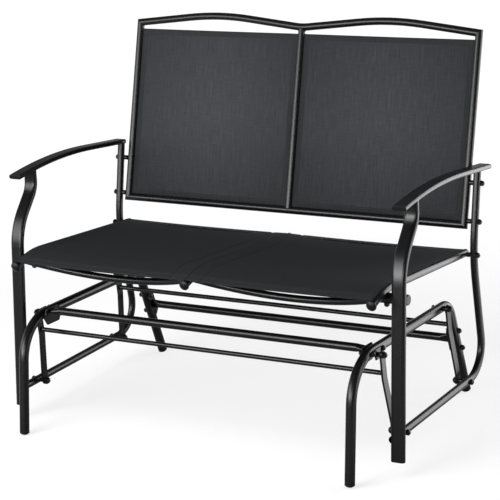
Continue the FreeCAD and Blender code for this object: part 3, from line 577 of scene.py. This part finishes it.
# %% Seat slings
seat_front = -0.2777
seat_rear = 0.2183
sheet_rise = rail_radius + 0.0006
seat_sag = 0.0065
sag_margin = 0.004
seat_hem_width = 0.021
hem_seam_x = 0.043
seam_depth = 0.0018
seam_width = 0.004
beside_seam = 0.012
off_rail = 0.008
on_rail = 0.0035
slot_dips = ((0.0006, 0.0060), (0.0006, 0.0025), (0.0006, 0.0006), (0.0011, 0.0001))
inner_slot = [x for x, dip in slot_dips]
outer_slot = [side_rail_x + inner_slot[0] - x for x in reversed(inner_slot)]
seat_columns = inner_slot + [on_rail]
seat_columns += spaced(off_rail, hem_seam_x - beside_seam, 0.009)
seat_columns += [hem_seam_x + shift for shift in (-0.006, -0.003, 0.0, 0.003, 0.006)]
seat_columns += spaced(hem_seam_x + beside_seam, side_rail_x - off_rail, column_step)
seat_columns += [side_rail_x - on_rail] + outer_slot
seat_rows = folded_rows(seat_front, seat_rear)


def seat_dips():
    """The turn-down for each column, in the order of the columns."""
    dips = [dip for x, dip in slot_dips]
    return dips + [0.0] * (len(seat_columns) - 2 * len(dips)) + dips[::-1]


def seat_point(column, row):
    """The cloth at a column (x, dip) and a row (y, depth). Folds lie flatter on the rails."""
    x, dip = column
    y, under = row
    share = min(max((x - sag_margin) / (side_rail_x - 2 * sag_margin), 0.0), 1.0)
    along = (y - seat_front) / (seat_rear - seat_front)
    hang = seat_sag * 4 * share * (1 - share) * (0.35 + 0.9 * math.sin(math.pi * along))
    free = min(max((min(x, side_rail_x - x) - rail_radius) / 0.006, 0.0), 1.0)
    depth = under * (0.25 + 0.75 * free)
    crease = seam_depth * math.exp(-((x - hem_seam_x) / seam_width) ** 2)
    return Vector((x, y, above_rails(y, sheet_rise - dip) - hang - depth - crease))


def in_seat_hem(x, y):
    return min(y - seat_front, seat_rear - y) < seat_hem_width


def mirrored_copy(cloth):
    """The other side's copy of a bmesh, mirrored across the middle of the bench."""
    other = cloth.copy()
    bmesh.ops.scale(other, vec=(-1.0, 1.0, 1.0), verts=other.verts)
    bmesh.ops.reverse_faces(other, faces=other.faces)
    return other


def seat_cloth_grid():
    """The seat cloth, its columns told apart by how far they lie across the flat cloth."""
    pairs = list(zip(seat_columns, seat_dips()))
    widths = [0.0]
    for before, after in zip(pairs, pairs[1:]):
        widths.append(widths[-1] + math.hypot(after[0] - before[0], after[1] - before[1]))
    place = dict(zip(widths, pairs))

    def lay(width, row):
        return seat_point(place[width], row)

    return cloth_grid(widths, seat_rows, lay, in_seat_hem)


seat_right = seat_cloth_grid()
seat_left = mirrored_copy(seat_right)
for side, cloth in (("right", seat_right), ("left", seat_left)):
    sling = finished_piece(
        "seat_sling_" + side, cloth, [seat_cloth, seat_hem_cloth_painted_highlight], "seat",
    )
    thickened(sling)
    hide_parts("seat_panel_" + side)

# %% [markdown]
# ## The back slings
# A back sling runs from the middle post to a side rail. Rods in its side hems hold it inside
# the slots, and its top and bottom edges are folded to the rear and sewn. One layer lets some
# light through from behind. That light is painted into its colour, so the single layer is
# paler than its doubled hems.

# %% Back slings
back_low = 0.0194
back_high = 0.458
back_bow = 0.0045
back_hem_width = 0.0145
slot_end = 0.0046
in_slot = 0.001
out_of_slot = 0.0015
past_hem = 0.01
post_radius = 0.009
side_edge = back_rail_x - rail_radius
back_inner = slot_end
back_outer = back_rail_x - slot_end
inner_hem = post_radius + back_hem_width
outer_hem = side_edge - back_hem_width
back_columns = [back_inner, post_radius - in_slot, post_radius + out_of_slot, inner_hem]
back_columns += spaced(inner_hem + past_hem, outer_hem - past_hem, column_step)
back_columns += [outer_hem, side_edge - out_of_slot, side_edge + in_slot, back_outer]
back_rows = folded_rows(back_low, back_high)


def back_point(x, row):
    """The cloth at a column x and a row (up, depth). It bows to the rear between the tubes."""
    up, under = row
    share = (x - back_inner) / (back_outer - back_inner)
    bow = back_bow * 4 * share * (1 - share)
    free = min(max((min(x - post_radius, side_edge - x) - 0.001) / 0.005, 0.0), 1.0)
    return on_back(x, up, bow + under * (0.2 + 0.8 * free))


def in_back_hem(x, up):
    beside = min(x - post_radius, side_edge - x) < back_hem_width
    return beside or min(up - back_low, back_high - up) < back_hem_width


back_right = cloth_grid(back_columns, back_rows, back_point, in_back_hem)
bmesh.ops.reverse_faces(back_right, faces=back_right.faces)
back_left = mirrored_copy(back_right)
for side, cloth in (("right", back_right), ("left", back_left)):
    sling = finished_piece(
        "back_sling_" + side, cloth, [back_cloth, back_hem_cloth], "seat",
    )
    thickened(sling)
    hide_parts("back_panel_" + side)


# %% [markdown]
# ## Stitching
# A lockstitch is a row of short thread lengths that dive into the cloth at both ends. One
# stitch is a stretched icosphere of twenty faces, which is enough for a length of 3 mm, of
# which there are more than two thousand. The folded edges of the seat have two rows each.

# %% Stitch rows
stitch_length = 0.0028
stitch_pitch = 0.0038
thread_radius = 0.00038


def sew(seam, first, last, upward, lay):
    """A row of stitches between two plain (x, y) places. lay puts a place onto the cloth."""
    start, end = Vector((*first, 0)), Vector((*last, 0))
    count = int((end - start).length / stitch_pitch)
    for index in range(count):
        a = lay(start.lerp(end, (index + 0.14) / count))
        b = lay(start.lerp(end, (index + 0.86) / count))
        along = (b - a).normalized()
        up = (upward - along * upward.dot(along)).normalized()
        side = along.cross(up)
        axes = Matrix((along, side, up)).transposed().to_4x4()
        size = Matrix.Diagonal((stitch_length / 2, thread_radius, thread_radius, 1.0))
        bmesh.ops.create_icosphere(
            seam, subdivisions=1, radius=1.0,
            matrix=Matrix.Translation((a + b) / 2) @ axes @ size,
        )


def seat_surface(place):
    """The upper face of the seat cloth at a plain (x, y)."""
    point = seat_point((place.x, 0.0), (place.y, 0.0))
    point.z += cloth_thickness / 2
    return point


def back_surface(place):
    """The front face of the back cloth at (across, up)."""
    point = back_point(place.x, (place.y, 0.0))
    return point - back_out * (cloth_thickness / 2)


seat_up = Vector((0, 0, 1))
seat_seams = bmesh.new()
for depth in (0.0185, 0.0035):
    for y in (seat_front + depth, seat_rear - depth):
        sew(seat_seams, (0.006, y), (side_rail_x - 0.006, y), seat_up, seat_surface)
for x in (hem_seam_x, side_rail_x - 0.016):
    sew(seat_seams, (x, seat_front + 0.004), (x, seat_rear - 0.004), seat_up, seat_surface)

back_seam_depth = 0.010
back_seams = bmesh.new()
for up in (back_low + back_seam_depth, back_high - back_seam_depth):
    sew(back_seams, (post_radius + 0.001, up), (side_edge - 0.001, up), -back_out, back_surface)
for x in (post_radius + back_seam_depth, side_edge - back_seam_depth):
    sew(back_seams, (x, back_low + 0.003), (x, back_high - 0.003), -back_out, back_surface)

for panel, seams in (("seat", seat_seams), ("back", back_seams)):
    for side, rows in (("left", mirrored_copy(seams)), ("right", seams)):
        finished_piece(panel + "_stitching_" + side, rows, [thread_finish], "seat")

# %% [markdown]
# ## Weld beads
# The middle post of the back is welded to the rails above and below it. A bead is a ring of
# small overlapping ripples, and on a round rail it rises and falls like a saddle.


# %% Weld beads
bead_radius = 0.0014
ripple_count = 30
top_rail_up = 0.4745
bottom_rail_up = 0.0095


def weld_bead(beads, foot, away, along, tube_radius, host_radius):
    """Ripples round a tube that leaves a round host at foot. along is the host's direction."""
    side = away.cross(along).normalized()
    for ripple in range(ripple_count):
        angle = 2 * math.pi * ripple / ripple_count
        across = tube_radius * math.sin(angle)
        rise = math.sqrt(host_radius ** 2 - across ** 2)
        place = foot + along * (tube_radius * math.cos(angle)) + side * across + away * rise
        swell = 1.0 + 0.12 * math.sin(2.7 * ripple)
        bmesh.ops.create_icosphere(
            beads, subdivisions=1, radius=bead_radius * swell,
            matrix=Matrix.Translation(place),
        )


across_bench = Vector((1, 0, 0))
back_beads = bmesh.new()
for rail_up, away in ((top_rail_up, -back_up), (bottom_rail_up, back_up)):
    foot = on_back(0, rail_up)
    weld_bead(back_beads, foot, away, across_bench, post_radius, rail_radius)
finished_piece("back_post_weld_beads", back_beads, [powder_black], "seat")

# %% [markdown]
# ## Floor
# The floor is a white paper sweep. Light Path lets it show itself to the camera as nearly
# white paper that glows, and still take a faint shadow, which fades out with the distance
# from the bench. In the gloss of the tubes it is painted darker towards the camera, for a dim
# room, and near the bench, as painted shade.

# %% Paper sweep
paper_white = 1.05
paper_tone = 0.86


def studio_floor():
    ground = bmesh.new()
    bmesh.ops.create_grid(ground, x_segments=1, y_segments=1, size=20.0)
    mesh = bpy.data.meshes.new("studio_floor")
    ground.to_mesh(mesh)
    ground.free()
    floor = bpy.data.objects.new("studio_floor", mesh)
    bpy.context.scene.collection.objects.link(floor)

    finish, output = new_finish("white_paper_sweep")
    ray = add_node(finish, "ShaderNodeLightPath")
    place = add_node(finish, "ShaderNodeTexCoord").outputs["Object"]
    spot = add_node(finish, "ShaderNodeSeparateXYZ", {"Vector": place})
    away = add_node(finish, "ShaderNodeVectorMath", {0: place}, operation="LENGTH")

    # Painted shade in the floor's mirror image: dim towards the camera, and dim near the bench.
    behind = add_node(
        finish, "ShaderNodeMapRange",
        {"Value": spot.outputs["Y"], "From Min": -1.6, "From Max": 0.2,
         "To Min": 0.22, "To Max": 1.0},
    )
    around = add_node(
        finish, "ShaderNodeMapRange",
        {"Value": away.outputs["Value"], "From Min": 0.55, "From Max": 1.2,
         "To Min": 0.25, "To Max": 1.0},
    )
    painted_mirror_shade = add_node(
        finish, "ShaderNodeMath",
        {0: behind.outputs["Result"], 1: around.outputs["Result"]},
        operation="MULTIPLY",
    )

    # The paper that the lamps light. Only its mirror image is dimmed, by the painted shade.
    not_mirrored = add_node(
        finish, "ShaderNodeMath", {0: 1.0, 1: ray.outputs["Is Glossy Ray"]},
        operation="SUBTRACT",
    )
    lit = add_node(
        finish, "ShaderNodeMath", {0: not_mirrored.outputs[0], 1: painted_mirror_shade.outputs[0]},
        operation="MAXIMUM",
    )
    tone = add_node(
        finish, "ShaderNodeMath", {0: lit.outputs[0], 1: paper_tone}, operation="MULTIPLY",
    )
    paper = add_node(finish, "ShaderNodeBsdfDiffuse", {"Color": tone.outputs[0]})

    # The glow that camera, gloss and glass see in its place, less of it near the bench. To gloss
    # it carries the painted shade too.
    mirrored = add_node(
        finish, "ShaderNodeMath", {0: ray.outputs["Is Glossy Ray"], 1: painted_mirror_shade.outputs[0]},
        operation="MULTIPLY",
    )
    seen_or_mirrored = add_node(
        finish, "ShaderNodeMath", {0: ray.outputs["Is Camera Ray"], 1: mirrored.outputs[0]},
        operation="MAXIMUM",
    )
    seen = add_node(
        finish, "ShaderNodeMath",
        {0: seen_or_mirrored.outputs[0], 1: ray.outputs["Is Transmission Ray"]},
        operation="MAXIMUM",
    )
    spread = add_node(
        finish, "ShaderNodeMapRange",
        {"Value": away.outputs["Value"], "From Min": 0.9, "From Max": 2.4,
         "To Min": 0.70, "To Max": 1.0},
        interpolation_type="SMOOTHSTEP",
    )
    share = add_node(
        finish, "ShaderNodeMath", {0: seen.outputs[0], 1: spread.outputs["Result"]},
        operation="MULTIPLY",
    )
    glow = add_node(
        finish, "ShaderNodeEmission",
        {"Color": (1.0, 1.0, 1.0, 1.0), "Strength": paper_white},
    )
    mixed = add_node(
        finish, "ShaderNodeMixShader",
        {0: share.outputs[0], 1: paper.outputs[0], 2: glow.outputs[0]},
    )
    mesh.materials.append(joined(finish, mixed, output))
    print(floor.name, "with", finish.name)


studio_floor()

# %% [markdown]
# ## Lamps
# Black tubes show little but what they mirror, so most lamps are split in two. A softbox only
# lights the cloth and the floor. A glow or a card is seen only in the gloss, where its place,
# size and strength draw the pale lines of the photograph. The front glow and the cards at the
# front and the left draw the thin lines along the tubes. The card behind at the right, with
# one lying on the floor before it where the white paper was overlit, gives the broad pale
# bands on the right arm and the right seat rail.


# %% Softboxes and cards
def soft_light(name, place, target, width, height, power, shines=True, lights=True):
    """A flat soft lamp. shines says that gloss shows it, lights that it lights matt things."""
    lamp = bpy.data.lights.new(name, "AREA")
    lamp.shape = "RECTANGLE"
    lamp.size = width
    lamp.size_y = height
    lamp.energy = power
    holder = bpy.data.objects.new(name, lamp)
    holder.visible_camera = False
    holder.visible_glossy = shines
    holder.visible_diffuse = lights
    bpy.context.scene.collection.objects.link(holder)
    holder.location = place
    aim = Vector(target) - Vector(place)
    holder.rotation_euler = aim.to_track_quat("-Z", "Y").to_euler()


bench = (0.0, 0.0, 0.6)
bench_back = (0.0, 0.0, 0.7)
right_side = (0.3, 0.0, 0.5)
rear_side = (0.2, 0.0, 0.5)
floor_middle = (0.0, 0.0, 0.0)
soft_light("front_softbox", (-1.6, -3.0, 1.9), bench, 2.4, 2.0, 107.0, shines=False)
soft_light("front_glow", (-1.5, -3.0, 1.6), bench, 2.6, 1.7, 118.0, lights=False)
soft_light("front_card", (0.3, -3.5, 1.25), bench_back, 4.0, 1.0, 125.0, lights=False)
soft_light("left_card", (-3.2, -1.4, 1.15), bench_back, 2.6, 1.0, 28.0, lights=False)
soft_light("right_softbox", (3.2, 0.9, 1.0), right_side, 1.4, 1.8, 44.0)
soft_light("rear_softbox", (2.2, 3.3, 1.2), rear_side, 2.4, 2.4, 135.0, shines=False)
soft_light("rear_card", (1.5, 1.75, 0.86), right_side, 1.7, 1.8, 52.0, lights=False)
soft_light("floor_card", (1.62, 1.35, 0.012), (1.62, 1.35, 1.0), 2.0, 2.5, 36.0, lights=False)
soft_light("overhead", (-0.5, -0.9, 2.6), floor_middle, 1.2, 1.2, 34.0, shines=False)
print("lights", len(bpy.data.lights))

# %% [markdown]
# ## World
# The world is the backdrop. It is white to the camera, and dim to everything else, so that
# the tops of the tubes stay black as in the photograph.

# %% Pale backdrop
world = bpy.data.worlds.new("pale_studio")
bpy.context.scene.world = world
world.use_nodes = True
world.node_tree.nodes.clear()
world_ray = add_node(world, "ShaderNodeLightPath")
world_dim = add_node(world, "ShaderNodeBackground", {"Strength": 0.22})
world_white = add_node(
    world, "ShaderNodeBackground", {"Color": (1.0, 1.0, 1.0, 1.0), "Strength": paper_white},
)
backdrop = add_node(
    world, "ShaderNodeMixShader",
    {0: world_ray.outputs["Is Camera Ray"], 1: world_dim.outputs[0], 2: world_white.outputs[0]},
)
add_node(world, "ShaderNodeOutputWorld", {"Surface": backdrop.outputs[0]})
bpy.context.scene.view_settings.view_transform = "Standard"
print("view", bpy.context.scene.view_settings.view_transform)
